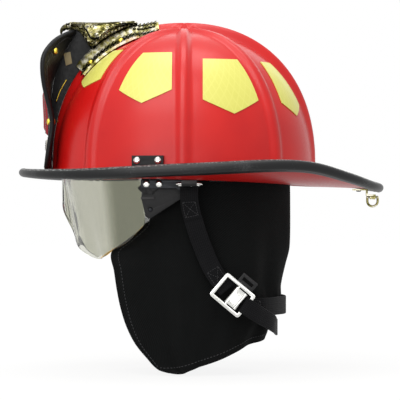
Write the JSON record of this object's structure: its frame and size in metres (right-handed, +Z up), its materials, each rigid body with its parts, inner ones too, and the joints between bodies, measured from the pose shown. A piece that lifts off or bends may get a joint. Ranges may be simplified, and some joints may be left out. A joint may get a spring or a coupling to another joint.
{
  "type": "traditional fire helmet",
  "caption": "Traditional red fire helmet with a leather front shield, brass eagle, flip-down visor, neck lap and chin strap.",
  "frame": {"origin": "centre of the head opening, level with the foot of the dome", "axes": "+X to the front of the helmet, +Y to the wearer's left, +Z up to the crown"},
  "size_m": [0.3929, 0.2914, 0.3746],
  "materials": {
    "gloss_red_shell": "glossy red thermoplastic",
    "black_trim": "black vinyl bead",
    "lime_reflective": "lime-yellow retroreflective sheet",
    "black_leather": "black harness leather",
    "red_leather": "red leather",
    "pale_leather": "grey-white leather",
    "aged_brass": "weathered brass",
    "clear_visor": "clear polycarbonate",
    "black_nylon": "moulded black nylon",
    "bright_steel": "nickel-plated steel",
    "dark_steel": "blackened steel",
    "foam": "dark rigid urethane foam",
    "webbing": "black nylon webbing",
    "black_cloth": "black flame-resistant cloth",
    "brown_pad": "padded cloth"
  },
  "bodies": {
    "helmet": {"outer_shell": "gloss_red_shell", "brim_trim": "black_trim", "reflective_decals": "lime_reflective", "leather_shield": "black_leather", "shield_centre_panel": "red_leather", "shield_lower_scroll": "pale_leather", "shield_rivets": "aged_brass", "shield_stay": "black_leather", "eagle_saddle": "aged_brass", "eagle_body": "aged_brass", "eagle_screws": "aged_brass", "hang_plate": "aged_brass", "hang_rivets": "aged_brass", "pivot_plate_left": "dark_steel", "pivot_plate_right": "dark_steel", "plate_screws": "bright_steel", "side_brackets": "black_nylon", "bracket_screws": "bright_steel", "impact_liner": "foam", "crown_straps": "webbing", "crown_pad": "brown_pad", "headband": "black_nylon", "brow_pad": "brown_pad", "nape_pad": "brown_pad", "ratchet_housing": "black_nylon", "band_keys": "black_nylon", "liner_clips": "black_nylon", "ear_lap": "black_cloth", "lap_snaps": "dark_steel", "chin_strap_left": "webbing", "chin_strap_right": "webbing", "strap_tail": "webbing", "strap_ring_left": "bright_steel", "strap_ring_right": "bright_steel", "ring_clips": "black_nylon", "buckle_frame": "bright_steel", "strap_keeper": "black_nylon"},
    "visor": {"visor_lens": "clear_visor", "visor_arm_left": "black_nylon", "visor_arm_right": "black_nylon", "visor_rivets": "dark_steel", "visor_grips": "black_nylon"},
    "knob": {"ratchet_knob": "black_nylon"},
    "hanging_ring": {"hang_ring": "aged_brass"},
    "lever": {"buckle_lever": "bright_steel"}
  },
  "joints": [
    {"name": "visor_turn", "type": "hinge", "parent": "helmet", "child": "visor", "pos_m": [-0.004, 0, -0.014], "axis": [0, -1, 0], "range_deg": [0, 40]},
    {"name": "knob_turn", "type": "hinge", "parent": "helmet", "child": "knob", "pos_m": [-0.10043, 0, -0.01357], "axis": [-0.9945, 0, -0.1045], "continuous": true},
    {"name": "ring_swing", "type": "hinge", "parent": "helmet", "child": "hanging_ring", "pos_m": [-0.2025, 0, -0.027], "axis": [1, 0, 0], "range_deg": [-70, 70]},
    {"name": "lever_turn", "type": "hinge", "parent": "helmet", "child": "lever", "pos_m": [-0.05, 0.0905, -0.129], "axis": [0.6428, 0, -0.766], "range_deg": [0, 70]}
  ]
}
